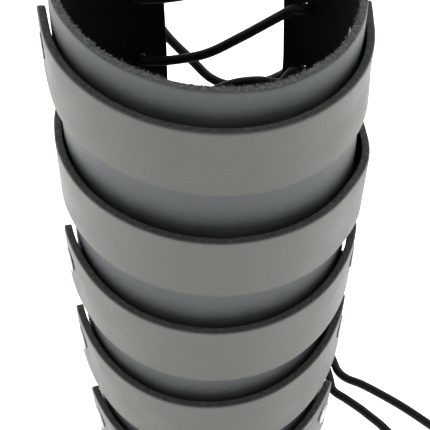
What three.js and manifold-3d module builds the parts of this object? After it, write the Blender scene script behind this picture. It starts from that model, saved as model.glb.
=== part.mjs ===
// A leather forearm gauntlet: one long panel rolled round the forearm and laced up the back,
// with five wide straps riveted across the front. Millimetres, Z up, the front faces -Y.
// The gauntlet stands on its lower rim, with the origin under its middle.
import * as THREE from 'three';
import { mergeVertices } from 'three/addons/utils/BufferGeometryUtils.js';
import Module from 'manifold-3d';

// Cross-sections of the panel's outer face, from the floor up. A section is two half ellipses
// that share a half width: front is the depth towards the viewer and back the depth behind.
const sections = [
  { z: 0, halfWidth: 47.9, front: 68.3, back: 53, centreX: 0.7 },
  { z: 40, halfWidth: 50.2, front: 65.8, back: 53, centreX: 0.2 },
  { z: 80, halfWidth: 51.25, front: 63.5, back: 53, centreX: -0.1 },
  { z: 120, halfWidth: 52.2, front: 61.4, back: 53, centreX: 0.1 },
  { z: 160, halfWidth: 52.8, front: 59.7, back: 53, centreX: 0.35 },
  { z: 200, halfWidth: 52.4, front: 58.2, back: 53, centreX: -0.55 },
  { z: 240, halfWidth: 53.2, front: 56.8, back: 53, centreX: -0.2 },
];
const axisY = 7;

// The panel
const panelThickness = 2.8;
const leftEdge = -160;
const rightEdge = 146.4;
const rimHeight = 227.6;
const rimRoll = -6.0;
const rimPitch = 2.2;

// The straps, from the top down. height is that of the top edge at the axis, roll and pitch are
// its slopes in degrees, and flare is how far the top edge stands off the panel at the front.
// For each side, end is the azimuth of the end, bulge how far the strap stands off the panel at
// the side, and tip how far the end springs off.
const strapWidth = 28.3;
const strapThickness = 3.0;
const strapSeat = 0.3;
const strapLowerFlare = 0.6;
const flareCentre = 4;
const flareReach = 84;
const bulgeCentre = 76;
const bulgeReach = 22;
const springReach = 12.5;
const cornerRadius = 2.5;
const straps = [
  {
    height: 215.2, roll: -5.2, pitch: 0.3, flare: 3.1,
    left: { end: -85.5, bulge: 0.0, tip: 1.0 },
    right: { end: 101, bulge: 0.0, tip: 1.1 },
  },
  {
    height: 164.8, roll: -4.5, pitch: -3.9, flare: 3.4,
    left: { end: -101, bulge: 0.1, tip: 0.4 },
    right: { end: 101, bulge: 1.3, tip: 0.4 },
  },
  {
    height: 124.3, roll: -2.5, pitch: -0.2, flare: 2.8,
    left: { end: -76.7, bulge: 0.5, tip: 0.4 },
    right: { end: 82, bulge: 0.45, tip: 0.2 },
  },
  {
    height: 85.3, roll: 1.0, pitch: 1.4, flare: 2.4,
    left: { end: -74.5, bulge: 0.35, tip: 0.4 },
    right: { end: 78, bulge: 0.0, tip: 0.2 },
  },
  {
    height: 46.2, roll: 2.3, pitch: 0.6, flare: 2.3,
    left: { end: -66, bulge: 0.0, tip: 0.2 },
    right: { end: 66, bulge: 0.0, tip: 0.2 },
  },
];

// The rivets, one near each end of each strap
const rivetInset = 6.5;
const rivetDrop = 12;
const rivetHeadRadius = 4.75;
const rivetHeadHeight = 0.8;
const rivetHeadClearance = 0.3;
const rivetPostRadius = 1.6;
const rivetCapRadius = 4.2;
const rivetCapHeight = 1.1;
const rivetCapClearance = 0.8;
const rivetHoleRadius = 1.95;
const rivetSides = 12;

// The lace holes, in pairs up the two back edges
const laceHoleRadius = 2.4;
const laceHoleInset = 12.6;
const lowestHole = 11;
const holePitch = 29.5;
const holePairs = 8;
const laceRadius = 1.9;

// A punch is long enough to pass through the panel and a strap.
const punchLength = 24;

const radians = THREE.MathUtils.degToRad;

// Interpolates one column of the table of sections at a height.
function sectionAt(z, column) {
  const last = sections.length - 2;
  const spacing = sections[1].z - sections[0].z;
  const row = THREE.MathUtils.clamp(Math.floor(z / spacing), 0, last);
  const share = (z - sections[row].z) / spacing;
  return THREE.MathUtils.lerp(sections[row][column], sections[row + 1][column], share);
}

// A point at an azimuth in degrees, 0 at the front and positive to the right, at a height and
// at a distance outwards from the panel's outer face.
function wallPoint(azimuth, z, offset) {
  const a = radians(azimuth);
  const depth = Math.cos(a) > 0 ? sectionAt(z, 'front') : sectionAt(z, 'back');
  const x = sectionAt(z, 'centreX') + (sectionAt(z, 'halfWidth') + offset) * Math.sin(a);
  return new THREE.Vector3(x, axisY - (depth + offset) * Math.cos(a), z);
}

// The outward direction at an azimuth and height of a wall that stands off the panel by a
// distance that gap gives for each azimuth.
function wallNormal(azimuth, z, gap) {
  const ahead = wallPoint(azimuth + 0.5, z, gap(azimuth + 0.5));
  const behind = wallPoint(azimuth - 0.5, z, gap(azimuth - 0.5));
  const along = ahead.sub(behind);
  return new THREE.Vector3(along.y, -along.x, 0).normalize();
}

// The height of a sloping edge above a point of the plan.
function slopingHeight(point, height, roll, pitch) {
  const across = point.x - sectionAt(height, 'centreX');
  return height + across * Math.tan(radians(roll)) + (point.y - axisY) * Math.tan(radians(pitch));
}

// Bends a box into a curved sheet: place is given each corner's share of the length, width and
// thickness, and returns the corner's point in space.
function bentSheet(columns, rows, place) {
  const geometry = new THREE.BoxGeometry(1, 1, 1, columns, rows, 1);
  const position = geometry.attributes.position;
  for (let i = 0; i < position.count; i += 1) {
    const length = position.getX(i) + 0.5;
    const width = position.getY(i) + 0.5;
    const thickness = position.getZ(i) + 0.5;
    const point = place(length, width, thickness);
    position.setXYZ(i, point.x, point.y, point.z);
  }
  return geometry;
}

const wasm = await Module();
wasm.setup();

// The closed solid of a geometry, with its shared corners merged.
function toSolid(geometry) {
  geometry.deleteAttribute('normal');
  geometry.deleteAttribute('uv');
  const merged = mergeVertices(geometry, 1e-4);
  const mesh = new wasm.Mesh({
    numProp: 3,
    vertProperties: new Float32Array(merged.attributes.position.array),
    triVerts: new Uint32Array(merged.index.array),
  });
  return new wasm.Manifold(mesh);
}

// The geometry of a solid that has been cut.
function toGeometry(solid) {
  const mesh = solid.getMesh();
  const geometry = new THREE.BufferGeometry();
  geometry.setAttribute('position', new THREE.BufferAttribute(mesh.vertProperties, 3));
  geometry.setIndex(new THREE.BufferAttribute(mesh.triVerts, 1));
  return geometry;
}

// A round punch along an axis through a point.
function punch(centre, axis, radius, sides) {
  const geometry = new THREE.CylinderGeometry(radius, radius, punchLength, sides);
  const turn = new THREE.Quaternion().setFromUnitVectors(new THREE.Vector3(0, 1, 0), axis);
  geometry.applyQuaternion(turn);
  geometry.translate(centre.x, centre.y, centre.z);
  return toSolid(geometry);
}

const panelLeather = new THREE.MeshStandardMaterial({
  name: 'panel leather', color: 0x4b4e4f, roughness: 0.55, metalness: 0,
});
const strapLeather = new THREE.MeshStandardMaterial({
  name: 'strap leather', color: 0x5c5e5a, roughness: 0.5, metalness: 0,
});
const rivetMetal = new THREE.MeshStandardMaterial({
  name: 'nickel plate', color: 0x9a9a98, roughness: 0.25, metalness: 1,
});
const laceCord = new THREE.MeshStandardMaterial({
  name: 'black cord', color: 0x121212, roughness: 0.7, metalness: 0,
});

const gauntlet = new THREE.Group();
gauntlet.name = 'gauntlet';

function addPiece(name, geometry, material) {
  const mesh = new THREE.Mesh(geometry, material);
  mesh.name = name;
  gauntlet.add(mesh);
  return mesh;
}

// The height of a strap's top edge at an azimuth.
function strapTop(strap, azimuth) {
  const plan = wallPoint(azimuth, strap.height, 0);
  return slopingHeight(plan, strap.height, strap.roll, strap.pitch);
}

// How far a strap's inner face stands off the panel: it bows out over the front, most at its
// top edge, and again at the sides, and springs off a little at its ends. width is the share of
// the strap's width up from its lower edge.
function strapGap(strap, azimuth, width) {
  const turn = THREE.MathUtils.clamp((azimuth - flareCentre) / flareReach, -1, 1);
  const bow = Math.cos((turn * Math.PI) / 2);
  const flare = THREE.MathUtils.lerp(strapLowerFlare, strap.flare, width);
  const side = azimuth < flareCentre ? strap.left : strap.right;
  const round = (Math.abs(azimuth) - bulgeCentre) / bulgeReach;
  const bulge = Math.cos((THREE.MathUtils.clamp(round, -1, 1) * Math.PI) / 2) ** 2;
  const reach = THREE.MathUtils.radToDeg(springReach / sectionAt(strap.height, 'halfWidth'));
  const spring = Math.max(0, Math.abs(azimuth) - Math.abs(side.end) + reach) / reach;
  return strapSeat + flare * bow + side.bulge * bulge + side.tip * spring ** 2;
}

// Where the rivets go: a fixed arc in from each end of a strap and below its top edge, square to
// the strap. stand is how far the strap's inner face is from the panel there.
function rivetPlaces(strap) {
  const inset = THREE.MathUtils.radToDeg(rivetInset / sectionAt(strap.height, 'halfWidth'));
  const gap = (azimuth) => strapGap(strap, azimuth, 1 - rivetDrop / strapWidth);
  return [
    { side: 'left', azimuth: strap.left.end + inset },
    { side: 'right', azimuth: strap.right.end - inset },
  ].map(({ side, azimuth }) => {
    const z = strapTop(strap, azimuth) - rivetDrop;
    const centre = wallPoint(azimuth, z, 0);
    return { side, centre, axis: wallNormal(azimuth, z, gap), stand: gap(azimuth) };
  });
}
const rivets = straps.flatMap((strap, index) =>
  rivetPlaces(strap).map((place) => ({ ...place, strap: index + 1 })),
);

// The lace holes: an azimuth for each side and a height for each pair.
const holeAzimuth = { left: leftEdge + laceHoleInset, right: rightEdge - laceHoleInset };
const holeHeight = (pair) => lowestHole + pair * holePitch;

// The panel, cut level at the foot and on a slope at the rim, with its holes punched. Its rows
// of corners stand at the heights of the sections, and the last row at the rim.
function panel() {
  const rows = sections.length - 1;
  const sheet = bentSheet(56, rows, (length, width, thickness) => {
    const azimuth = THREE.MathUtils.lerp(leftEdge, rightEdge, length);
    const offset = (thickness - 1) * panelThickness;
    const rim = wallPoint(azimuth, rimHeight, offset);
    const top = slopingHeight(rim, rimHeight, rimRoll, rimPitch);
    const row = Math.round(width * rows);
    return wallPoint(azimuth, row < rows ? sections[row].z : top, offset);
  });
  let solid = toSolid(sheet);
  for (let pair = 0; pair < holePairs; pair += 1) {
    const z = holeHeight(pair);
    for (const azimuth of Object.values(holeAzimuth)) {
      const axis = wallNormal(azimuth, z, () => 0);
      solid = solid.subtract(punch(wallPoint(azimuth, z, 0), axis, laceHoleRadius, 10));
    }
  }
  for (const rivet of rivets) {
    solid = solid.subtract(punch(rivet.centre, rivet.axis, rivetHoleRadius, 8));
  }
  return toGeometry(solid);
}
addPiece('arm_panel', panel(), panelLeather);

// The shares of a strap's length at which its columns stand: close together round the corners.
function strapColumns(arc) {
  const near = [0, 0.15, 0.5, 1].map((share) => (share * cornerRadius) / arc);
  const far = near.map((share) => 1 - share).reverse();
  const count = 32;
  const middle = Array.from({ length: count - 1 }, (_, i) => {
    const share = (i + 1) / count;
    return THREE.MathUtils.lerp(near[3], far[0], share);
  });
  return [...near, ...middle, ...far];
}

// A strap: a straight strip with slightly rounded corners, wrapped round the front.
function strapSolid(strap, index) {
  const turn = strap.right.end - strap.left.end;
  const arc = radians(turn) * sectionAt(strap.height, 'halfWidth');
  const columns = strapColumns(arc);
  const last = columns.length - 1;
  const sheet = bentSheet(last, 2, (length, width, thickness) => {
    const share = columns[Math.round(length * last)];
    const azimuth = THREE.MathUtils.lerp(strap.left.end, strap.right.end, share);
    const fromEnd = Math.min(share, 1 - share) * arc;
    const short = Math.max(0, cornerRadius - fromEnd);
    const trim = cornerRadius - Math.sqrt(cornerRadius ** 2 - short ** 2);
    const up = THREE.MathUtils.lerp(trim, strapWidth - trim, width);
    const z = strapTop(strap, azimuth) - strapWidth + up;
    const gap = strapGap(strap, azimuth, up / strapWidth);
    return wallPoint(azimuth, z, gap + thickness * strapThickness);
  });
  let solid = toSolid(sheet);
  for (const rivet of rivets.filter((place) => place.strap === index + 1)) {
    solid = solid.subtract(punch(rivet.centre, rivet.axis, rivetHoleRadius, 8));
  }
  return toGeometry(solid);
}
straps.forEach((strap, index) => {
  addPiece(`strap_${index + 1}`, strapSolid(strap, index), strapLeather);
});

// A rivet: a flat round head outside, a post through both leathers, and a cap inside. stand is
// how far the strap's inner face is from the panel.
function rivetGeometry(stand) {
  const seat = stand + strapThickness + rivetHeadClearance;
  const capSeat = -panelThickness - rivetCapClearance;
  const profile = [
    new THREE.Vector2(0, capSeat - rivetCapHeight),
    new THREE.Vector2(rivetCapRadius * 0.7, capSeat - rivetCapHeight * 0.85),
    new THREE.Vector2(rivetCapRadius, capSeat - rivetCapHeight * 0.3),
    new THREE.Vector2(rivetCapRadius, capSeat),
    new THREE.Vector2(rivetPostRadius, capSeat),
    new THREE.Vector2(rivetPostRadius, seat),
    new THREE.Vector2(rivetHeadRadius, seat),
    new THREE.Vector2(rivetHeadRadius, seat + rivetHeadHeight * 0.5),
    new THREE.Vector2(rivetHeadRadius * 0.85, seat + rivetHeadHeight * 0.9),
    new THREE.Vector2(0, seat + rivetHeadHeight),
  ];
  const geometry = new THREE.LatheGeometry(profile, rivetSides);
  geometry.deleteAttribute('normal');
  geometry.deleteAttribute('uv');
  return mergeVertices(geometry, 1e-4);
}
for (const rivet of rivets) {
  const geometry = rivetGeometry(rivet.stand);
  const mesh = addPiece(`rivet_${rivet.strap}_${rivet.side}`, geometry, rivetMetal);
  mesh.position.copy(rivet.centre);
  mesh.quaternion.setFromUnitVectors(new THREE.Vector3(0, 1, 0), rivet.axis);
}

// A curve whose steps fall on its own points, so that a tube turns where the cord does.
class CordPath extends THREE.CatmullRomCurve3 {
  getUtoTmapping(u) {
    return u;
  }
}

// A round cord along a list of points.
function cordGeometry(points) {
  const section = new THREE.Shape();
  const sides = 8;
  for (let i = 0; i < sides; i += 1) {
    const a = (i * 2 * Math.PI) / sides;
    const x = laceRadius * Math.cos(a);
    const y = laceRadius * Math.sin(a);
    if (i === 0) section.moveTo(x, y);
    else section.lineTo(x, y);
  }
  section.closePath();
  const geometry = new THREE.ExtrudeGeometry(section, {
    steps: points.length - 1,
    curveSegments: 1,
    extrudePath: new CordPath(points, false, 'centripetal'),
  });
  geometry.deleteAttribute('normal');
  geometry.deleteAttribute('uv');
  return mergeVertices(geometry, 1e-4);
}

// How far the lace stands from the panel's two faces where it humps out of a hole, and how far
// along the face the hump leans towards where the lace goes next.
const humpOutside = 3.9;
const humpInside = -panelThickness - 3.7;
const humpLean = 3.2;

// How far from each face of the panel the lace still runs square to it.
const mouth = 1.0;

// The points of the lace at a hole, from one face of the panel to the other.
function holePass(side, pair, startsInside) {
  const z = holeHeight(pair);
  const azimuth = holeAzimuth[side];
  const towardsGap = side === 'left' ? -1 : 1;
  const lean = THREE.MathUtils.radToDeg(humpLean / sections[0].halfWidth) * towardsGap;
  const outside = wallPoint(azimuth + lean, z, humpOutside);
  const inside = wallPoint(azimuth + lean, z, humpInside);
  const outerMouth = wallPoint(azimuth, z, mouth);
  const innerMouth = wallPoint(azimuth, z, -panelThickness - mouth);
  return startsInside
    ? [inside, innerMouth, outerMouth, outside]
    : [outside, outerMouth, innerMouth, inside];
}

// The lengths of lace across the gap. An inner length climbs from a left hole to the next right
// one, inside the panel and nearly straight. An outer length climbs from right to left and hangs
// in a slack loop behind the panel, or is pulled taut. rise is the height above the lower of the
// two holes.
const innerLength = [
  { x: -15.9, y: 46.8, rise: 1.2 },
  { x: -1.9, y: 45.1, rise: 5.7 },
  { x: 11.3, y: 43.6, rise: 14.7 },
  { x: 26.5, y: 41.8, rise: 26.5 },
];
const bowedInnerLength = [
  { x: -14.5, y: 46.6, rise: 5.5 },
  { x: -2, y: 45.1, rise: 15 },
  { x: 9.7, y: 43.8, rise: 21.8 },
  { x: 19.5, y: 42.6, rise: 24 },
  { x: 27.2, y: 41.7, rise: 23.6 },
];
const outerLength = [
  { x: 33.5, y: 52.7, rise: -5.5 },
  { x: 28, y: 56.3, rise: -14 },
  { x: 17.5, y: 60.7, rise: -22.4 },
  { x: 7.2, y: 62.1, rise: -23.7 },
  { x: 0, y: 62.1, rise: -20 },
  { x: -7, y: 61.5, rise: -11 },
  { x: -16.9, y: 59.9, rise: 3 },
  { x: -23.5, y: 58.9, rise: 16 },
];
const tautOuterLength = [
  { x: 29, y: 55.1, rise: 1.5 },
  { x: 12, y: 59.1, rise: 9 },
  { x: -5, y: 60.9, rise: 17 },
  { x: -19, y: 59.7, rise: 25.5 },
];
const topBar = [
  { x: 31.5, y: 54.1, rise: -0.5 },
  { x: 18, y: 55.1, rise: -1.5 },
  { x: 2, y: 52.3, rise: -2 },
  { x: -13, y: 49.1, rise: -1 },
];
const bowedPair = 4;
const tautPairs = [0, 6];

// The points of one length of lace that starts at a pair of holes.
function lengthPoints(rows, pair) {
  return rows.map((row) => new THREE.Vector3(row.x, row.y, holeHeight(pair) + row.rise));
}

function innerPoints(pair) {
  return lengthPoints(pair === bowedPair ? bowedInnerLength : innerLength, pair);
}

function outerPoints(pair) {
  return lengthPoints(tautPairs.includes(pair) ? tautOuterLength : outerLength, pair);
}

// Where the lace stops at a lowest hole, square to the panel, for its free end to carry on.
const laceStop = 3;

// The whole lacing: up the back from the lowest left hole, across the top, and down again to
// the lowest right hole.
function lacePoints() {
  const top = holePairs - 1;
  const points = [
    wallPoint(holeAzimuth.left, holeHeight(0), laceStop),
    ...holePass('left', 0, false).slice(1),
  ];
  for (let pair = 0; pair < top; pair += 2) {
    points.push(...innerPoints(pair), ...holePass('right', pair + 1, true));
    if (pair + 1 < top) {
      points.push(...outerPoints(pair + 1), ...holePass('left', pair + 2, false));
    }
  }
  points.push(...lengthPoints(topBar, top), ...holePass('left', top, true));
  for (let pair = top - 1; pair >= 0; pair -= 2) {
    points.push(...outerPoints(pair).reverse(), ...holePass('right', pair, false));
    if (pair > 0) {
      points.push(...innerPoints(pair - 1).reverse(), ...holePass('left', pair - 1, true));
    }
  }
  points.pop();
  points.push(wallPoint(holeAzimuth.right, holeHeight(0), -panelThickness - laceStop));
  return points;
}
addPiece('lace', cordGeometry(lacePoints()), laceCord);

// The lace's two free ends, which lie on the floor beside the gauntlet. Each row is x, y and z.
const outerEndRoute = [
  [-27.39, 54.47, 11], [-30.5, 58.9, 10.4], [-31, 65, 8], [-26.8, 69.3, 5.2], [-19.5, 71.1, 3],
  [-10, 70.7, 1.95], [1, 69.3, 1.95], [12, 67.1, 1.95], [22, 63.9, 1.95], [31, 59.1, 1.95],
  [39, 52.7, 1.95], [46, 44.9, 1.95], [51.2, 37.1, 1.95], [54.8, 29.5, 1.95], [56.6, 23.1, 1.95],
  [58.2, 17.9, 1.95], [61.6, 14.1, 1.95], [67.7, 11, 1.95], [76.2, 5.3, 1.95],
  [84.6, -1, 1.95], [92.7, -8, 1.95], [99.1, -14, 1.95], [102.6, -18, 1.95],
];
const innerEndRoute = [
  [31.15, 39.43, 11], [27.3, 36.1, 10.4], [24, 33.8, 8.4], [18.4, 34.7, 5.6], [14.2, 38.7, 3.4],
  [12.4, 44.1, 2.2], [12.8, 50.1, 1.95], [15.9, 55.2, 1.95], [21, 57.7, 1.95], [26.6, 56.1, 1.95],
  [33.9, 50.9, 1.95], [42.1, 42.9, 1.95], [47, 35.7, 1.95], [50.4, 28.7, 1.95],
  [52.6, 21.7, 1.95], [54, 14.1, 1.95], [55.2, 7.3, 1.95], [60.3, 2.7, 1.95],
  [66.6, -2.9, 1.95], [70.7, -7.1, 1.95], [74.7, -11.3, 1.95], [79.4, -17.4, 1.95],
];
const toVectors = (route) => route.map((row) => new THREE.Vector3(...row));
addPiece('lace_end_outer', cordGeometry(toVectors(outerEndRoute)), laceCord);
addPiece('lace_end_inner', cordGeometry(toVectors(innerEndRoute)), laceCord);

export default gauntlet;
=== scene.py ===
"""A leather forearm gauntlet, standing on its lower rim and laced up its open back.

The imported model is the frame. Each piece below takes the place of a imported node, or is fitted to
one. Everything is in metres, with Z up, the front towards -Y and the floor at Z = 0.
"""

import bpy
import numpy as np
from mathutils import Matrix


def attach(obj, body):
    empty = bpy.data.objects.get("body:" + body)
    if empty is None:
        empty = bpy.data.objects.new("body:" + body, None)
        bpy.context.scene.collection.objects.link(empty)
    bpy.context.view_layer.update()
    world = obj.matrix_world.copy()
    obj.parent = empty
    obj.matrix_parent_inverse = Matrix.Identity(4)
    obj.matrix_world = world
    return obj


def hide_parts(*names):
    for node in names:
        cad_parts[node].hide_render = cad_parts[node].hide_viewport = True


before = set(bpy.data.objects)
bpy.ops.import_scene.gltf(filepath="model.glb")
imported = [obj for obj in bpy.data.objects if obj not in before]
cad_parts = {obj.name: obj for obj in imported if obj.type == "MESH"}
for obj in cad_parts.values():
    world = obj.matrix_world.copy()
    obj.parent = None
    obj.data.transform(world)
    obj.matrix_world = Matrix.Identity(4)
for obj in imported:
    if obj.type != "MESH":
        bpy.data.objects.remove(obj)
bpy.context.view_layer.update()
mm = 0.001

# The camera
# It stands in front of the gauntlet and above it, and looks down over the rim at about 45 degrees.
camera_data = bpy.data.cameras.new("camera")
camera_data.lens = 108.85
camera_data.sensor_width = 36
camera = bpy.data.objects.new("camera", camera_data)
camera.location = (1.87 * mm, -347.9 * mm, 475.8 * mm)
camera.rotation_euler = (np.radians(44.53), 0, 0)
bpy.context.scene.collection.objects.link(camera)
bpy.context.scene.camera = camera

# The free ends of the lace
# The lace is one round leather cord, dyed black and waxed. Its two ends leave the lowest holes,
# one outside the panel and one inside, and lie along the floor round the right of the gauntlet.
lace_radius = 1.9 * mm
cord_step = 1.2 * mm
cord_sides = 14
outer_end_route = mm * np.array([
    [-27.39, 54.47, 11], [-30.5, 58.9, 10.4], [-31, 65, 8], [-26.8, 69.3, 5.2],
    [-19.5, 71.1, 3], [-10, 70.7, 1.95], [1, 69.3, 1.95], [12, 67.1, 1.95], [22, 63.9, 1.95],
    [31, 59.1, 1.95], [39, 52.7, 1.95], [46, 44.9, 1.95], [51.2, 37.1, 1.95],
    [54.8, 29.5, 1.95], [56.6, 23.1, 1.95], [58.2, 17.9, 1.95], [61.6, 14.1, 1.95],
    [67.7, 11, 1.95], [76.2, 5.3, 1.95], [84.6, -1, 1.95], [92.7, -8, 1.95],
    [99.1, -14, 1.95], [102.6, -18, 1.95],
])
inner_end_route = mm * np.array([
    [31.15, 39.43, 11], [27.3, 36.1, 10.4], [24, 33.8, 8.4], [18.4, 34.7, 5.6],
    [14.2, 38.7, 3.4], [12.4, 44.1, 2.2], [12.8, 50.1, 1.95], [15.9, 55.2, 1.95],
    [21, 57.7, 1.95], [26.6, 56.1, 1.95], [33.9, 50.9, 1.95], [42.1, 42.9, 1.95],
    [47, 35.7, 1.95], [50.4, 28.7, 1.95], [52.6, 21.7, 1.95], [54, 14.1, 1.95],
    [55.2, 7.3, 1.95], [60.3, 2.7, 1.95], [66.6, -2.9, 1.95], [70.7, -7.1, 1.95],
    [74.7, -11.3, 1.95], [79.4, -17.4, 1.95],
])


def smooth_line(points, steps=16):
    """A centripetal Catmull-Rom curve: each span is the cubic that meets its two points with
    slopes drawn from the points on both sides, weighted by the square roots of the distances."""
    p = np.vstack([2 * points[0] - points[1], points, 2 * points[-1] - points[-2]])
    root = np.sqrt(np.linalg.norm(np.diff(p, axis=0), axis=1))[:, None]
    before, start, end, after = p[:-3], p[1:-2], p[2:-1], p[3:]
    r0, r1, r2 = root[:-2], root[1:-1], root[2:]
    chord = (end - start) / r1
    leave = r1 * ((start - before) / r0 - (end - before) / (r0 + r1) + chord)
    arrive = r1 * (chord - (after - start) / (r1 + r2) + (after - end) / r2)
    s = (np.arange(steps) / steps)[None, :, None]
    start, end, leave, arrive = (a[:, None] for a in (start, end, leave, arrive))
    line = start + leave * s
    line = line + (3 * (end - start) - 2 * leave - arrive) * s**2
    line = line + (2 * (start - end) + leave + arrive) * s**3
    return np.vstack([line.reshape(-1, 3), points[-1:]])


def distances(line):
    """How far along a line each of its points is."""
    return np.concatenate([[0], np.cumsum(np.linalg.norm(np.diff(line, axis=0), axis=1))])


def unit(vectors):
    """The vectors, each divided by its length."""
    return vectors / np.linalg.norm(vectors, axis=-1, keepdims=True)


def cord_rings(line):
    """The centres and radii of a cord's rings: an even step along the line, with three closer
    rings at each end that round off the cut."""
    curve = smooth_line(line)
    along = distances(curve)
    length = along[-1]
    cut = lace_radius * np.array([0, 0.12, 0.4])
    count = int(length / cord_step)
    middle = np.linspace(cut[-1], length - cut[-1], count)[1:-1]
    stations = np.concatenate([cut, middle, length - cut[::-1]])
    radii = np.full(len(stations), lace_radius)
    radii[:3] = radii[-3:][::-1] = lace_radius * np.array([0.78, 0.94, 1])
    centres = np.stack([np.interp(stations, along, curve[:, k]) for k in range(3)], -1)
    return centres, radii, stations


def across(centres):
    """Two unit vectors across the line at each ring. A first pair is square to the line and to a
    fixed direction. The turn from each pair to the next is summed and taken back, so that the
    rings don't twist."""
    tangent = unit(np.gradient(centres, axis=0))
    first = unit(np.cross(tangent, [0.31, 0.23, 0.92]))
    here, there = tangent[:-1], tangent[1:]
    axis = np.cross(here, there)
    scale = 1 / (1 + (here * there).sum(1, keepdims=True))
    n = first[:-1]
    carried = n + np.cross(axis, n) + np.cross(axis, np.cross(axis, n)) * scale
    turn_sin = (np.cross(carried, first[1:]) * there).sum(1)
    turn_cos = (carried * first[1:]).sum(1)
    twist = np.concatenate([[0], np.cumsum(np.arctan2(turn_sin, turn_cos))])[:, None]
    second = np.cross(tangent, first)
    right = np.cos(twist) * first - np.sin(twist) * second
    return right, np.cross(tangent, right)


def add_piece(name, points, face_groups, materials, **attributes):
    """A mesh object from points and groups of faces, one material to a group. Each attribute
    holds a number or a vector for every point."""
    mesh = bpy.data.meshes.new(name)
    arrays = [array for group in face_groups for array in group]
    corners = np.concatenate([array.ravel() for array in arrays])
    used, corners = np.unique(corners, return_inverse=True)
    sizes = np.concatenate([np.full(len(array), array.shape[1]) for array in arrays])
    counts = [sum(len(array) for array in group) for group in face_groups]
    mesh.vertices.add(len(used))
    mesh.vertices.foreach_set("co", points[used].astype(np.float32).ravel())
    mesh.loops.add(len(corners))
    mesh.loops.foreach_set("vertex_index", corners.astype(np.int32).ravel())
    mesh.polygons.add(len(sizes))
    mesh.polygons.foreach_set("loop_start", (np.cumsum(sizes) - sizes).astype(np.int32))
    for material in materials:
        mesh.materials.append(material)
    slots = np.repeat(np.arange(len(counts)), counts).astype(np.int32)
    mesh.polygons.foreach_set("material_index", slots)
    mesh.polygons.foreach_set("use_smooth", np.ones(len(sizes), bool))
    for key, values in attributes.items():
        kind, field = ("FLOAT", "value") if values.ndim == 1 else ("FLOAT_VECTOR", "vector")
        made = mesh.attributes.new(key, kind, "POINT")
        made.data.foreach_set(field, values[used].astype(np.float32).ravel())
    mesh.update(calc_edges=True)
    mesh.validate()
    piece = bpy.data.objects.new(name, mesh)
    bpy.context.scene.collection.objects.link(piece)
    return piece


def loop_walls(loops):
    """The quads between each closed loop of point numbers and the next. Loops run clockwise
    round what they enclose, as seen from the side that the walls rise towards."""
    ahead = np.roll(loops, -1, axis=1)
    quads = [ahead[:-1], loops[:-1], loops[1:], ahead[1:]]
    return np.stack(quads, -1).reshape(-1, 4)


def cord_piece(name, line, material):
    """A round cord along a line: a ring of points across each station, joined ring to ring, with
    a fan of triangles over each end."""
    centres, radii, stations = cord_rings(line)
    right, up = across(centres)
    turn = np.arange(cord_sides) * 2 * np.pi / cord_sides
    spoke = np.cos(turn)[None, :, None] * right[:, None] + np.sin(turn)[None, :, None] * up[:, None]
    rings = centres[:, None] + radii[:, None, None] * spoke
    points = np.vstack([rings.reshape(-1, 3), centres[[0, -1]]])
    loops = np.arange(len(stations) * cord_sides).reshape(-1, cord_sides)
    first, last = len(points) - 2, len(points) - 1
    ahead = np.roll(loops, -1, axis=1)
    start_fan = np.stack([ahead[0], loops[0], np.full(cord_sides, first)], -1)
    end_fan = np.stack([loops[-1], ahead[-1], np.full(cord_sides, last)], -1)
    side = np.stack([loops[:-1], ahead[:-1], ahead[1:], loops[1:]], -1).reshape(-1, 4)
    ring_grain = np.stack([
        np.broadcast_to(np.cos(turn), loops.shape),
        np.broadcast_to(np.sin(turn), loops.shape),
        np.broadcast_to(stations[:, None] / lace_radius, loops.shape),
    ], -1).reshape(-1, 3)
    grain = np.vstack([ring_grain, [[0, 0, 0], [0, 0, stations[-1] / lace_radius]]])
    piece = add_piece(name, points, [[side, start_fan, end_fan]], [material], cord_place=grain)
    return piece, centres


def new_material(name):
    """A node material: its tree and its shader."""
    material = bpy.data.materials.new(name)
    material.use_nodes = True
    return material, material.node_tree, material.node_tree.nodes["Principled BSDF"]


def node(tree, kind, inputs=None, **settings):
    """Adds a shader node. Each input is a value, or another node's output to link."""
    made = tree.nodes.new(kind)
    for key, value in settings.items():
        setattr(made, key, value)
    for socket, value in (inputs or {}).items():
        if isinstance(value, bpy.types.NodeSocket):
            tree.links.new(value, made.inputs[socket])
        else:
            made.inputs[socket].default_value = value
    return made


def math(tree, operation, a, b=0.0, clamp=False):
    """One sum of two values."""
    made = node(tree, "ShaderNodeMath", {0: a, 1: b}, operation=operation, use_clamp=clamp)
    return made.outputs[0]


def fade(tree, value, low, high, start=0.0, end=1.0):
    """Turns a value smoothly from start to end as it goes from low to high."""
    inputs = {"Value": value, "From Min": low, "From Max": high, "To Min": start, "To Max": end}
    return node(tree, "ShaderNodeMapRange", inputs, interpolation_type="SMOOTHSTEP").outputs[0]


def blend(tree, share, first, second):
    """Mixes two colours by a share."""
    inputs = {0: share, 6: first, 7: second}
    return node(tree, "ShaderNodeMix", inputs, data_type="RGBA").outputs[2]


def grey(red, green, blue):
    """A colour from the three channels' strengths in light."""
    return (red, green, blue, 1.0)


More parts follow.
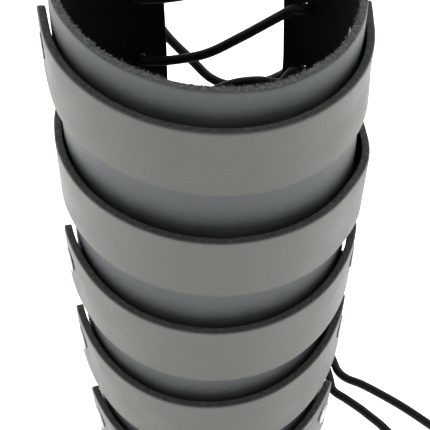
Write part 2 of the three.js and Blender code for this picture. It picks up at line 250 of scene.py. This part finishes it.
lace_black, tree, shader = new_material("waxed lace")
place = node(tree, "ShaderNodeAttribute", attribute_name="cord_place").outputs["Vector"]
fibre_place = node(tree, "ShaderNodeMapping", {"Vector": place, "Scale": (5, 5, 0.35)})
fibres = node(tree, "ShaderNodeTexNoise", {
    "Vector": fibre_place.outputs[0], "Scale": 1.0, "Detail": 4.0, "Roughness": 0.6,
}).outputs["Fac"]
pits = node(tree, "ShaderNodeTexNoise", {
    "Vector": place, "Scale": 2.2, "Detail": 5.0, "Roughness": 0.7,
}).outputs["Fac"]
relief = math(tree, "ADD", fibres, math(tree, "MULTIPLY", pits, 0.7))
bump = node(tree, "ShaderNodeBump", {"Height": relief, "Strength": 0.35, "Distance": 0.12 * mm})
tree.links.new(bump.outputs[0], shader.inputs["Normal"])
worn = fade(tree, pits, 0.45, 0.75)
black = blend(tree, worn, grey(0.002, 0.002, 0.002), grey(0.006, 0.006, 0.006))
tree.links.new(black, shader.inputs["Base Color"])
tree.links.new(fade(tree, pits, 0.3, 0.7, 0.55, 0.75), shader.inputs["Roughness"])
shader.inputs["Specular IOR Level"].default_value = 0.22

free_ends = {"lace_end_outer": outer_end_route, "lace_end_inner": inner_end_route}
for name, route in free_ends.items():
    piece, centres = cord_piece(name + "_cord", route, lace_black)
    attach(piece, "root")
    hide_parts(name)

# The lace
# The same cord, laced up the back in pairs of holes and down again. Lengths that climb inside the
# panel are nearly straight, and most of those outside hang in slack loops behind the gap.
section_z = mm * np.array([0, 40, 80, 120, 160, 200, 240])
half_width = mm * np.array([47.9, 50.2, 51.25, 52.2, 52.8, 52.4, 53.2])
front_depth = mm * np.array([68.3, 65.8, 63.5, 61.4, 59.7, 58.2, 56.8])
back_depth = 53 * mm
centre_x = mm * np.array([0.7, 0.2, -0.1, 0.1, 0.35, -0.55, -0.2])
axis_y = 7 * mm
panel_thickness = 2.8 * mm
left_edge, right_edge = -160.0, 146.4
hole_inset = 12.6
hole_azimuth = {"left": left_edge + hole_inset, "right": right_edge - hole_inset}
lowest_hole = 11 * mm
hole_pitch = 29.5 * mm
hole_pairs = 8
hump_outside, hump_inside = 3.9 * mm, -6.5 * mm
mouth_clearance = 1.0 * mm
hump_lean = np.degrees(3.2 * mm / half_width[0])
lace_stop = 3 * mm
inner_length = mm * np.array([
    [-15.9, 46.8, 1.2], [-1.9, 45.1, 5.7], [11.3, 43.6, 14.7], [26.5, 41.8, 26.5],
])
bowed_inner_length = mm * np.array([
    [-14.5, 46.6, 5.5], [-2, 45.1, 15], [9.7, 43.8, 21.8], [19.5, 42.6, 24], [27.2, 41.7, 23.6],
])
outer_length = mm * np.array([
    [33.5, 52.7, -5.5], [28, 56.3, -14], [17.5, 60.7, -22.4], [7.2, 62.1, -23.7],
    [0, 62.1, -20], [-7, 61.5, -11], [-16.9, 59.9, 3], [-23.5, 58.9, 16],
])
taut_outer_length = mm * np.array([
    [29, 55.1, 1.5], [12, 59.1, 9], [-5, 60.9, 17], [-19, 59.7, 25.5],
])
top_bar = mm * np.array([
    [31.5, 54.1, -0.5], [18, 55.1, -1.5], [2, 52.3, -2], [-13, 49.1, -1],
])
bowed_pair = 4
taut_pairs = (0, 6)


def wall_point(azimuth, z, offset):
    """A point by its azimuth in degrees, 0 at the front and positive to the right, its height,
    and its distance outwards from the panel's outer face. The plan is two half ellipses that
    share their width: x = width sin(azimuth), y = -depth cos(azimuth)."""
    a = np.radians(azimuth)
    depth = np.where(np.cos(a) > 0, np.interp(z, section_z, front_depth), back_depth)
    x = np.interp(z, section_z, centre_x)
    x = x + (np.interp(z, section_z, half_width) + offset) * np.sin(a)
    y = axis_y - (depth + offset) * np.cos(a)
    return np.stack(np.broadcast_arrays(x, y, z), -1)


def wall_normal(azimuth, z, gap=lambda azimuth: 0):
    """The outward direction of a wall that stands off the panel by a gap at each azimuth: square
    to the step between two near azimuths."""
    ahead = wall_point(azimuth + 0.5, z, gap(azimuth + 0.5))
    along = ahead - wall_point(azimuth - 0.5, z, gap(azimuth - 0.5))
    return unit(np.stack([along[..., 1], -along[..., 0], 0 * along[..., 0]], -1))


def hole_height(pair):
    """The height of a pair of lace holes, counted from the foot."""
    return lowest_hole + pair * hole_pitch


def hole_pass(side, pair, starts_inside):
    """The lace's points at a hole, from one face of the panel to the other, leaning at both
    faces towards the gap."""
    z, azimuth = hole_height(pair), hole_azimuth[side]
    lean = azimuth + hump_lean * (-1 if side == "left" else 1)
    points = np.array([
        wall_point(lean, z, hump_inside),
        wall_point(azimuth, z, -panel_thickness - mouth_clearance),
        wall_point(azimuth, z, mouth_clearance),
        wall_point(lean, z, hump_outside),
    ])
    return points if starts_inside else points[::-1]


def between_holes(rows, pair):
    """A length of lace across the gap, its heights counted from the lower hole."""
    return rows + [0, 0, hole_height(pair)]


def lacing():
    """The whole lacing: up the back from the lowest left hole, across the top, and down again to
    the lowest right hole."""
    top = hole_pairs - 1
    inner = [bowed_inner_length if k == bowed_pair else inner_length for k in range(top)]
    outer = [taut_outer_length if k in taut_pairs else outer_length for k in range(top)]
    runs = [
        wall_point(hole_azimuth["left"], hole_height(0), lace_stop)[None],
        hole_pass("left", 0, False)[1:],
    ]
    for k in range(0, top, 2):
        runs += [between_holes(inner[k], k), hole_pass("right", k + 1, True)]
        if k + 1 < top:
            runs += [between_holes(outer[k + 1], k + 1), hole_pass("left", k + 2, False)]
    runs += [between_holes(top_bar, top), hole_pass("left", top, True)]
    for k in range(top - 1, -1, -2):
        runs += [between_holes(outer[k], k)[::-1], hole_pass("right", k, False)]
        if k > 0:
            runs += [between_holes(inner[k - 1], k - 1)[::-1], hole_pass("left", k - 1, True)]
    end = wall_point(hole_azimuth["right"], hole_height(0), -panel_thickness - lace_stop)
    return np.vstack([np.vstack(runs)[:-1], end[None]])


lace, _ = cord_piece("lace_cord", lacing(), lace_black)
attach(lace, "root")
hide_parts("lace")

# The panel
# One long piece of dyed leather, rolled into a tube that stays open at the back. Its grain side
# is outside, its flesh side is a black nap, and its edges are cut raw and left fibrous.
rim_height = 227.6 * mm
rim_roll, rim_pitch = -6.0, 2.2
lace_hole_radius = 2.4 * mm
rivet_hole_radius = 1.95 * mm
rivet_inset, rivet_drop = 6.5 * mm, 12 * mm
panel_corner = 2.5 * mm
panel_cell = 1.85 * mm
# How far in from a cut edge, and how deep below the grain, each loop of the edge lies.
edge_insets = mm * np.array([1.0, 0.6, 0.34, 0.16, 0.05, 0, 0, 0, 0.04, 0.16, 0.4, 0.8])
edge_depths = np.array([0, 0.008, 0.03, 0.075, 0.14, 0.25, 0.5, 0.72, 0.85, 0.94, 0.985, 1])
grain_loops = 4

strap_width = 28.3 * mm
strap_rows = [
    dict(height=215.2, roll=-5.2, pitch=0.3, flare=3.1,
         left=dict(end=-85.5, bulge=0.0, tip=1.0), right=dict(end=101, bulge=0.0, tip=1.1)),
    dict(height=164.8, roll=-4.5, pitch=-3.9, flare=3.4,
         left=dict(end=-101, bulge=0.1, tip=0.4), right=dict(end=101, bulge=1.3, tip=0.4)),
    dict(height=124.3, roll=-2.5, pitch=-0.2, flare=2.8,
         left=dict(end=-76.7, bulge=0.5, tip=0.4), right=dict(end=82, bulge=0.45, tip=0.2)),
    dict(height=85.3, roll=1.0, pitch=1.4, flare=2.4,
         left=dict(end=-74.5, bulge=0.35, tip=0.4), right=dict(end=78, bulge=0.0, tip=0.2)),
    dict(height=46.2, roll=2.3, pitch=0.6, flare=2.3,
         left=dict(end=-66, bulge=0.0, tip=0.2), right=dict(end=66, bulge=0.0, tip=0.2)),
]


def sloping_height(point, height, roll, pitch):
    """The height of a sloping cut above a point of the plan."""
    sideways = point[..., 0] - np.interp(height, section_z, centre_x)
    back = point[..., 1] - axis_y
    return height + sideways * np.tan(np.radians(roll)) + back * np.tan(np.radians(pitch))


def rivet_places(row):
    """The azimuth and height of a strap's two rivets: a fixed arc in from each end, and a fixed
    drop below the strap's top edge."""
    height = row["height"] * mm
    inset = np.degrees(rivet_inset / np.interp(height, section_z, half_width))
    azimuths = np.array([row["left"]["end"] + inset, row["right"]["end"] - inset])
    plan = wall_point(azimuths, height, 0)
    return azimuths, sloping_height(plan, height, row["roll"], row["pitch"]) - rivet_drop


def ripple(azimuth, z):
    """The hand-made unevenness of the rolled leather: a few slow waves round and up it."""
    a, h = np.radians(azimuth), z / (100 * mm)
    waves = np.sin(3 * a + 2.1 * h) + 0.7 * np.sin(5 * a - 3.3 * h + 1) + 0.5 * np.sin(9 * a + 5 * h)
    return 0.07 * mm * waves


def cut_lines(length, corner, cell):
    """Grid lines over a cut length: close together over the corners and even between."""
    near = corner * np.array([0, 0.48, 0.74])
    count = int(round((length - 2 * corner) / cell)) + 1
    return np.concatenate([near, np.linspace(corner, length - corner, count), length - near[::-1]])


def leather_sheet(length, width, thickness, corner, cell, holes, placed):
    """A closed sheet of cut leather. The grain and flesh faces are grids over the flat cut, with
    the cells round each hole left out and the ring of points there moved onto its circle. A
    profile carried round the outline and round each hole joins the two faces. placed takes each
    point's length, width and depth below the grain, and returns its place in space."""
    u, v = cut_lines(length, corner, cell), cut_lines(width, corner, cell)
    numbers = np.arange(len(u) * len(v)).reshape(len(u), len(v))
    flat = np.stack(np.meshgrid(u, v, indexing="ij"), -1).reshape(-1, 2)
    size = np.array([length, width])
    away = np.minimum(flat, size - flat).min(1)
    kept = np.ones((len(u) - 1, len(v) - 1), bool)
    outline = np.concatenate([numbers[:, 0], numbers[-1, 1:], numbers[-2::-1, -1],
                              numbers[0, -2:0:-1]])
    step = np.array([-2, -2, -2, -2, -2, -1, 0, 1, 2, 2, 2, 2, 2, 1, 0, -1])
    ring_u, ring_v = step, np.roll(step, 4)

    def rounded(points):
        """Draws the corner squares in onto quarter discs."""
        inside = np.clip(points, corner, size - corner)
        q = points - inside
        reach = np.hypot(q[:, 0], q[:, 1])
        share = np.abs(q).max(1) / np.where(reach > 0, reach, 1)
        return inside + q * share[:, None]

    faces = rounded(np.clip(flat, edge_insets[0], size - edge_insets[0]))
    back = rounded(np.clip(flat, edge_insets[-1], size - edge_insets[-1]))
    edges = [(outline, [rounded(np.clip(flat[outline], d, size - d)) for d in edge_insets])]
    for centre_u, centre_v, radius in holes:
        centre = np.array([centre_u, centre_v])
        i, j = np.abs(u - centre_u).argmin(), np.abs(v - centre_v).argmin()
        kept[i - 2:i + 2, j - 2:j + 2] = False
        ring = numbers[i + ring_u, j + ring_v]
        out = unit(np.stack([ring_u, ring_v], -1).astype(float))
        loops = [centre + (radius + d / 2) * out for d in edge_insets]
        faces[ring], back[ring] = loops[0], loops[-1]
        away = np.minimum(away, np.linalg.norm(flat - centre, axis=1) - radius)
        away[ring] = edge_insets[0] / 2
        edges.append((ring, loops))

    parts = [faces, back]
    depth = [np.zeros(len(flat)), np.ones(len(flat))]
    from_edge = [away, away]
    count = 2 * len(flat)
    walls = []
    for ring, loops in edges:
        inner = np.arange((len(edge_insets) - 2) * len(ring)).reshape(-1, len(ring)) + count
        count += inner.size
        walls.append(loop_walls(np.vstack([ring, inner, ring + len(flat)])))
        parts += loops[1:-1]
        depth.append(np.repeat(edge_depths[1:-1], len(ring)))
        from_edge.append(np.repeat(edge_insets[1:-1], len(ring)))
    flat_points = np.vstack(parts)
    depth, from_edge = np.concatenate(depth), np.concatenate(from_edge)
    points = placed(flat_points[:, 0], flat_points[:, 1], depth * thickness)
    i, j = np.nonzero(kept)
    a, b, c, d = numbers[i, j], numbers[i + 1, j], numbers[i + 1, j + 1], numbers[i, j + 1]
    grain_face = np.stack([a, b, c, d], -1)
    flesh_face = np.stack([d, c, b, a], -1) + len(flat)
    shoulders, cuts, backs = [], [], []
    for wall, (ring, _) in zip(walls, edges):
        bands = wall.reshape(len(edge_insets) - 1, len(ring), 4)
        shoulders.append(bands[:grain_loops].reshape(-1, 4))
        cuts.append(bands[grain_loops:-2].reshape(-1, 4))
        backs.append(bands[-2:].reshape(-1, 4))
    groups = [[grain_face, *shoulders], cuts, [flesh_face, *backs]]
    return points, groups, np.clip(from_edge, 0, 20 * mm) / mm


def panel_place(u, v, depth):
    """Rolls the flat panel up: length to azimuth, and width to a share of the rim's height,
    which wanders a little along the cut."""
    azimuth = left_edge + np.degrees(u / back_depth)
    rim = wall_point(azimuth, rim_height, -depth)
    top = sloping_height(rim, rim_height, rim_roll, rim_pitch)
    wander = 0.12 * mm * (np.sin(azimuth * 0.21) + np.sin(azimuth * 0.083 + 2))
    z = v / rim_height * (top + wander)
    z = np.maximum(z, 0)
    return wall_point(azimuth, z, ripple(azimuth, z) - depth)


def panel_hole(azimuth, z, radius):
    """A hole's place in the flat panel."""
    top = sloping_height(wall_point(azimuth, rim_height, 0), rim_height, rim_roll, rim_pitch)
    return np.radians(azimuth - left_edge) * back_depth, z * rim_height / top, radius


panel_length = np.radians(right_edge - left_edge) * back_depth
panel_holes = [
    panel_hole(azimuth, hole_height(pair), lace_hole_radius)
    for azimuth in hole_azimuth.values() for pair in range(hole_pairs)
]
for row in strap_rows:
    panel_holes += [panel_hole(a, z, rivet_hole_radius) for a, z in zip(*rivet_places(row))]


def dust(tree, place, spacing, share, size):
    """Sparse specks: the middles of a few cells of a Voronoi pattern."""
    cells = node(tree, "ShaderNodeTexVoronoi", {"Vector": place, "Scale": 1 / spacing})
    chosen = node(tree, "ShaderNodeSeparateColor", {0: cells.outputs["Color"]}).outputs[0]
    chosen = math(tree, "LESS_THAN", chosen, share)
    speck = fade(tree, cells.outputs["Distance"], 0.5 * size / spacing, size / spacing, 1, 0)
    return math(tree, "MULTIPLY", chosen, speck)


def grain_leather(name, colour, worn_colour, roughness):
    """Smooth finished leather: fine pebbles and pores, slow changes of shade, a dark line where
    the grain turns over a cut edge, and a few specks of dust."""
    material, tree, shader = new_material(name)
    place = node(tree, "ShaderNodeTexCoord").outputs["Object"]
    pebbles = node(tree, "ShaderNodeTexVoronoi", {
        "Vector": place, "Scale": 1 / (0.75 * mm), "Smoothness": 0.6,
    }, feature="SMOOTH_F1").outputs["Distance"]
    pores = node(tree, "ShaderNodeTexNoise", {
        "Vector": place, "Scale": 1 / (0.5 * mm), "Detail": 3.0, "Roughness": 0.6,
    }).outputs["Fac"]
    clouds = node(tree, "ShaderNodeTexNoise", {
        "Vector": place, "Scale": 1 / (16 * mm), "Detail": 4.0, "Roughness": 0.55,
    }).outputs["Fac"]
    from_edge = node(tree, "ShaderNodeAttribute", attribute_name="from_edge").outputs["Fac"]
    shade = math(tree, "ADD", clouds, math(tree, "MULTIPLY", math(tree, "SUBTRACT", pores, 0.5), 0.5))
    base = blend(tree, fade(tree, shade, 0.3, 0.7), colour, worn_colour)
    line = math(tree, "MULTIPLY", fade(tree, from_edge, 0.45, 0.8, 1, 0), 0.25)
    base = blend(tree, line, base, grey(0.01, 0.01, 0.01))
    specks = dust(tree, place, 13 * mm, 0.3, 0.3 * mm)
    base = blend(tree, specks, base, grey(0.7, 0.7, 0.68))
    tree.links.new(base, shader.inputs["Base Color"])
    rough = fade(tree, shade, 0.3, 0.7, roughness - 0.05, roughness + 0.07)
    tree.links.new(rough, shader.inputs["Roughness"])
    relief = math(tree, "ADD", math(tree, "MULTIPLY", pebbles, -0.8), math(tree, "MULTIPLY", pores, 0.8))
    relief = math(tree, "ADD", relief, math(tree, "MULTIPLY", clouds, 2.0))
    bump = node(tree, "ShaderNodeBump", {"Height": relief, "Strength": 0.75, "Distance": 0.16 * mm})
    tree.links.new(bump.outputs[0], shader.inputs["Normal"])
    return material


def cut_leather(name, colour, fibre_colour):
    """The raw cut through the hide: short pale fibres in a dyed felt."""
    material, tree, shader = new_material(name)
    place = node(tree, "ShaderNodeTexCoord").outputs["Object"]
    felt = node(tree, "ShaderNodeTexNoise", {
        "Vector": place, "Scale": 1 / (0.45 * mm), "Detail": 6.0, "Roughness": 0.75,
        "Distortion": 0.6,
    }).outputs["Fac"]
    tufts = node(tree, "ShaderNodeTexNoise", {
        "Vector": place, "Scale": 1 / (1.3 * mm), "Detail": 3.0, "Roughness": 0.6,
    }).outputs["Fac"]
    share = fade(tree, math(tree, "ADD", felt, math(tree, "MULTIPLY", tufts, 0.5)), 0.65, 0.95)
    tree.links.new(blend(tree, share, colour, fibre_colour), shader.inputs["Base Color"])
    shader.inputs["Roughness"].default_value = 0.85
    relief = math(tree, "ADD", felt, math(tree, "MULTIPLY", tufts, 1.5))
    bump = node(tree, "ShaderNodeBump", {"Height": relief, "Strength": 0.8, "Distance": 0.35 * mm})
    tree.links.new(bump.outputs[0], shader.inputs["Normal"])
    return material


def flesh_leather(name, colour, nap_colour):
    """The flesh side: a matt black nap with short fibres and grey lint in it."""
    material, tree, shader = new_material(name)
    place = node(tree, "ShaderNodeTexCoord").outputs["Object"]
    nap = node(tree, "ShaderNodeTexNoise", {
        "Vector": place, "Scale": 1 / (0.6 * mm), "Detail": 6.0, "Roughness": 0.8,
        "Distortion": 1.2,
    }).outputs["Fac"]
    brushed = node(tree, "ShaderNodeTexNoise", {
        "Vector": place, "Scale": 1 / (9 * mm), "Detail": 4.0, "Roughness": 0.6,
    }).outputs["Fac"]
    share = fade(tree, math(tree, "ADD", nap, math(tree, "MULTIPLY", brushed, 0.4)), 0.6, 1.0)
    base = blend(tree, share, colour, nap_colour)
    lint = dust(tree, place, 7 * mm, 0.5, 0.35 * mm)
    base = blend(tree, math(tree, "MULTIPLY", lint, 0.5), base, grey(0.5, 0.5, 0.5))
    tree.links.new(base, shader.inputs["Base Color"])
    shader.inputs["Roughness"].default_value = 0.95
    shader.inputs["Specular IOR Level"].default_value = 0.05
    bump = node(tree, "ShaderNodeBump", {"Height": nap, "Strength": 0.7, "Distance": 0.3 * mm})
    tree.links.new(bump.outputs[0], shader.inputs["Normal"])
    return material


panel_grain = grain_leather("panel grain", grey(0.042, 0.050, 0.050), grey(0.056, 0.066, 0.065), 0.5)
cut_edge = cut_leather("raw cut edge", grey(0.03, 0.032, 0.033), grey(0.15, 0.16, 0.16))
flesh_side = flesh_leather("flesh side nap", grey(0.0010, 0.0012, 0.0011), grey(0.0035, 0.0040, 0.0038))

points, groups, from_edge = leather_sheet(
    panel_length, rim_height, panel_thickness, panel_corner, panel_cell, panel_holes, panel_place,
)
panel = add_piece("arm_panel_leather", points, groups, [panel_grain, cut_edge, flesh_side],
                  from_edge=from_edge)
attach(panel, "root")
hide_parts("arm_panel")

# The straps
# Five wide strips of slightly thicker leather with a paler, warmer finish. Each is wrapped round
# the front and riveted near its ends, so that its top edge bows out from the panel.
strap_thickness = 3.0 * mm
strap_seat = 0.3 * mm
strap_lower_flare = 0.6 * mm
flare_centre, flare_reach = 4, 84
bulge_centre, bulge_reach = 76, 22
spring_reach = 12.5 * mm
strap_corner = 2.5 * mm
strap_cell = 1.9 * mm
dimple_depth, dimple_reach = 0.22 * mm, 5.5 * mm


def strap_gap(row, azimuth, share):
    """How far a strap's inner face stands off the panel, at a share of its width up from its
    lower edge: it bows out over the front, most at its top edge, and again at the sides, and
    springs off a little at its ends."""
    bow = np.cos(np.clip((azimuth - flare_centre) / flare_reach, -1, 1) * np.pi / 2)
    flare = strap_lower_flare * (1 - share) + row["flare"] * mm * share
    on_left = azimuth < flare_centre
    end, bulge, tip = (
        np.where(on_left, row["left"][key], row["right"][key]) for key in ("end", "bulge", "tip")
    )
    beside = np.clip((np.abs(azimuth) - bulge_centre) / bulge_reach, -1, 1)
    swell = bulge * np.cos(beside * np.pi / 2) ** 2
    reach = np.degrees(spring_reach / np.interp(row["height"] * mm, section_z, half_width))
    spring = tip * (np.maximum(0, np.abs(azimuth) - np.abs(end) + reach) / reach) ** 2
    return strap_seat + flare * bow + (swell + spring) * mm


def strap_place(row):
    """The way that a strap is wrapped: length to azimuth, width up from a sloping lower edge, and
    an offset of the gap behind it, less the dimples that the rivets press in."""
    height = row["height"] * mm
    start, end = row["left"]["end"], row["right"]["end"]
    arc = np.radians(end - start) * np.interp(height, section_z, half_width)

    def placed(u, v, depth):
        """Where points of the flat strip lie once it is wrapped."""
        azimuth = start + (end - start) * u / arc
        plan = wall_point(azimuth, height, 0)
        z = sloping_height(plan, height, row["roll"], row["pitch"]) - strap_width + v
        rivet_v = strap_width - rivet_drop
        near_rivet = np.hypot(np.minimum(u, arc - u) - rivet_inset, v - rivet_v)
        dimple = dimple_depth * np.exp(-((near_rivet / dimple_reach) ** 2))
        gap = strap_gap(row, azimuth, v / strap_width) - dimple
        return wall_point(azimuth, z, gap + strap_thickness - depth + ripple(azimuth, z))

    return arc, placed


strap_grain = grain_leather("strap grain", grey(0.044, 0.051, 0.039), grey(0.062, 0.070, 0.055), 0.48)
strap_cut = cut_leather("strap cut edge", grey(0.018, 0.022, 0.022), grey(0.075, 0.085, 0.084))

for number, row in enumerate(strap_rows, 1):
    arc, placed = strap_place(row)
    rivet_holes = [
        (rivet_inset, strap_width - rivet_drop, rivet_hole_radius),
        (arc - rivet_inset, strap_width - rivet_drop, rivet_hole_radius),
    ]
    points, groups, from_edge = leather_sheet(
        arc, strap_width, strap_thickness, strap_corner, strap_cell, rivet_holes, placed,
    )
    strap = add_piece(f"strap_{number}_leather", points, groups,
                      [strap_grain, strap_cut, flesh_side], from_edge=from_edge)
    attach(strap, "root")
    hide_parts(f"strap_{number}")

# The rivets
# Two-part cap rivets in polished nickel plate, one near each end of each strap. The flat cap
# outside and the smaller one inside are pressed together through both leathers.
rivet_turns = 48
# Each row is a radius and a height: of the inner cap below the panel's inner face, and of the
# head above the strap's outer face.
inner_cap = mm * np.array([
    [0, -1.15], [1.6, -1.12], [2.8, -1.02], [3.6, -0.85], [4.05, -0.6], [4.2, -0.35],
    [4.15, -0.12], [3.9, -0.03], [1.6, 0],
])
head = mm * np.array([
    [1.6, -0.1], [4.2, -0.08], [4.55, -0.03], [4.72, 0.08], [4.75, 0.2], [4.7, 0.33],
    [4.55, 0.43], [4.2, 0.5], [3.4, 0.55], [2.2, 0.59], [1.0, 0.61], [0, 0.61],
])


def rivet_mesh(row, azimuth, z):
    """The profile turned about an axis square to the strap: a ring for each of its rows, closed
    by a fan at the middle of each cap."""
    share = 1 - rivet_drop / strap_width
    centre = wall_point(azimuth, z, ripple(azimuth, z))
    normal = wall_normal(azimuth, z, lambda azimuth: strap_gap(row, azimuth, share))
    stand = strap_gap(row, azimuth, share) + strap_thickness
    level = np.cross([0, 0, 1], normal)
    rise = np.cross(normal, level)
    profile = np.vstack([inner_cap - [0, panel_thickness], head + [0, stand]])
    turn = np.arange(rivet_turns) * 2 * np.pi / rivet_turns
    spoke = np.cos(turn)[:, None] * level + np.sin(turn)[:, None] * rise
    radius, height = profile[1:-1].T
    rings = centre + radius[:, None, None] * spoke + height[:, None, None] * normal
    poles = centre + profile[[0, -1], 1][:, None] * normal
    loops = np.arange(len(radius) * rivet_turns).reshape(-1, rivet_turns)
    ahead = np.roll(loops, -1, axis=1)
    side = np.stack([loops[:-1], ahead[:-1], ahead[1:], loops[1:]], -1).reshape(-1, 4)
    inner_fan = np.stack([ahead[0], loops[0], np.full(rivet_turns, loops.size)], -1)
    outer_fan = np.stack([loops[-1], ahead[-1], np.full(rivet_turns, loops.size + 1)], -1)
    return np.vstack([rings.reshape(-1, 3), poles]), [[side, inner_fan, outer_fan]]


nickel, tree, shader = new_material("polished nickel")
place = node(tree, "ShaderNodeTexCoord").outputs["Object"]
scratches = node(tree, "ShaderNodeTexNoise", {
    "Vector": place, "Scale": 1 / (0.3 * mm), "Detail": 5.0, "Roughness": 0.7, "Distortion": 2.0,
}).outputs["Fac"]
smears = node(tree, "ShaderNodeTexNoise", {
    "Vector": place, "Scale": 1 / (2.5 * mm), "Detail": 4.0, "Roughness": 0.6,
}).outputs["Fac"]
tint = blend(tree, fade(tree, smears, 0.35, 0.7), grey(0.17, 0.17, 0.165), grey(0.27, 0.27, 0.26))
tree.links.new(tint, shader.inputs["Base Color"])
shader.inputs["Metallic"].default_value = 1.0
tree.links.new(fade(tree, smears, 0.3, 0.75, 0.16, 0.34), shader.inputs["Roughness"])
bump = node(tree, "ShaderNodeBump", {"Height": scratches, "Strength": 0.15, "Distance": 0.03 * mm})
tree.links.new(bump.outputs[0], shader.inputs["Normal"])

for number, row in enumerate(strap_rows, 1):
    for side, azimuth, z in zip(("left", "right"), *rivet_places(row)):
        points, groups = rivet_mesh(row, azimuth, z)
        rivet = add_piece(f"rivet_{number}_{side}_cap", points, groups, [nickel])
        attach(rivet, "root")
        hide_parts(f"rivet_{number}_{side}")

# The fibres along the rim
# The raw cut round the top of the panel is left as the knife made it, and short pale fibres of
# the hide stand up from it, most of them along the flesh side.
fibres_per_tuft = 5
fibre_count = 5200
fibre_random = np.random.default_rng(7)


def fibre_mesh(roots, tips, radius):
    """Thin closed spikes: a triangle of points round each root, half way up and then a tip. Each
    is bent by moving its middle off the straight line."""
    count = len(roots)
    along = unit(tips - roots)
    first = unit(np.cross(along, fibre_random.normal(size=(count, 3))))
    second = np.cross(along, first)
    turn = np.arange(3) * 2 * np.pi / 3
    spoke = np.cos(turn)[None, :, None] * first[:, None] + np.sin(turn)[None, :, None] * second[:, None]
    length = np.linalg.norm(tips - roots, axis=1)[:, None]
    middle = (roots + tips) / 2 + first * length * fibre_random.uniform(0, 0.25, (count, 1))
    low = roots[:, None] + radius[:, None, None] * spoke
    high = middle[:, None] + 0.75 * radius[:, None, None] * spoke
    points = np.concatenate([low, high, tips[:, None]], 1)
    one = np.array([[0, 1, 4], [0, 4, 3], [1, 2, 5], [1, 5, 4], [2, 0, 3], [2, 3, 5],
                    [3, 4, 6], [4, 5, 6], [5, 3, 6], [2, 1, 0]])
    faces = (one[None] + 7 * np.arange(count)[:, None, None]).reshape(-1, 3)
    return points.reshape(-1, 3), faces


def rim_fibres():
    """Roots along the rim, gathered in tufts, and tips that lean inwards and up."""
    tuft = fibre_random.uniform(0.6 * mm, panel_length - 0.6 * mm, fibre_count // fibres_per_tuft)
    u = np.repeat(tuft, fibres_per_tuft) + fibre_random.normal(0, 0.22 * mm, fibre_count)
    u = np.clip(u, 0.4 * mm, panel_length - 0.4 * mm)
    depth = panel_thickness * (1 - np.abs(fibre_random.normal(0, 0.22, fibre_count)))
    depth = np.clip(depth, 0.15 * panel_thickness, 0.97 * panel_thickness)
    roots = panel_place(u, np.full(fibre_count, rim_height - 0.1 * mm), depth)
    inwards = -wall_normal(left_edge + np.degrees(u / back_depth), rim_height)
    lean = fibre_random.uniform(-0.1, 1.1, (fibre_count, 1)) * (depth / panel_thickness)[:, None]
    aim = inwards * lean + [0, 0, 0.75] + fibre_random.normal(0, 0.35, (fibre_count, 3))
    length = 0.25 * mm + fibre_random.gamma(2.0, 0.17 * mm, (fibre_count, 1))
    radius = fibre_random.uniform(0.03 * mm, 0.075 * mm, fibre_count)
    return fibre_mesh(roots, roots + unit(aim) * length, radius)


pale_fibre, tree, shader = new_material("hide fibre")
place = node(tree, "ShaderNodeTexCoord").outputs["Object"]
shade = node(tree, "ShaderNodeTexNoise", {
    "Vector": place, "Scale": 1 / (1.2 * mm), "Detail": 2.0,
}).outputs["Fac"]
tint = blend(tree, fade(tree, shade, 0.35, 0.65), grey(0.06, 0.062, 0.063), grey(0.30, 0.31, 0.31))
tree.links.new(tint, shader.inputs["Base Color"])
shader.inputs["Roughness"].default_value = 0.9

points, faces = rim_fibres()
fibres = add_piece("rim_fibres", points, [[faces]], [pale_fibre])
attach(fibres, "root")

# The floor and the light
# A white table lit through from below, in a tent of soft white cloth. The light comes mostly from
# the table and the back and side walls, which leaves gaps that face upwards dark.
floor_reach = 3.0
corner = np.array([[-1, -1, 0], [1, -1, 0], [1, 1, 0], [-1, 1, 0]]) * floor_reach
white, tree, shader = new_material("white table")
shader.inputs["Base Color"].default_value = grey(0.8, 0.8, 0.8)
shader.inputs["Roughness"].default_value = 0.9
shader.inputs["Specular IOR Level"].default_value = 0.0
shader.inputs["Emission Color"].default_value = grey(1, 1, 1)
shader.inputs["Emission Strength"].default_value = 1.6
floor = add_piece("floor", corner, [[np.array([[0, 1, 2, 3]])]], [white])

# The brightness of the tent's left, right, front and back walls and of its top. Each fades with
# the square of the cosine of the angle from its middle.
tent = {(-1, 0, 0): 1.6, (1, 0, 0): 1.2, (0, -1, 0): 0.5, (0, 1, 0): 2.2, (0, 0, 1): 0.7}
world = bpy.data.worlds.new("tent")
world.use_nodes = True
tree = world.node_tree
direction = node(tree, "ShaderNodeTexCoord").outputs["Generated"]
strength = 0.0
for middle, brightness in tent.items():
    dot = node(tree, "ShaderNodeVectorMath", {0: direction, 1: middle}, operation="DOT_PRODUCT")
    facing = math(tree, "MAXIMUM", dot.outputs["Value"], 0.0)
    wall = math(tree, "MULTIPLY", math(tree, "MULTIPLY", facing, facing), brightness)
    strength = math(tree, "ADD", strength, wall)
background = tree.nodes["Background"]
background.inputs["Color"].default_value = grey(1, 1, 1)
tree.links.new(strength, background.inputs["Strength"])
bpy.context.scene.world = world
bpy.context.scene.view_settings.view_transform = "Standard"
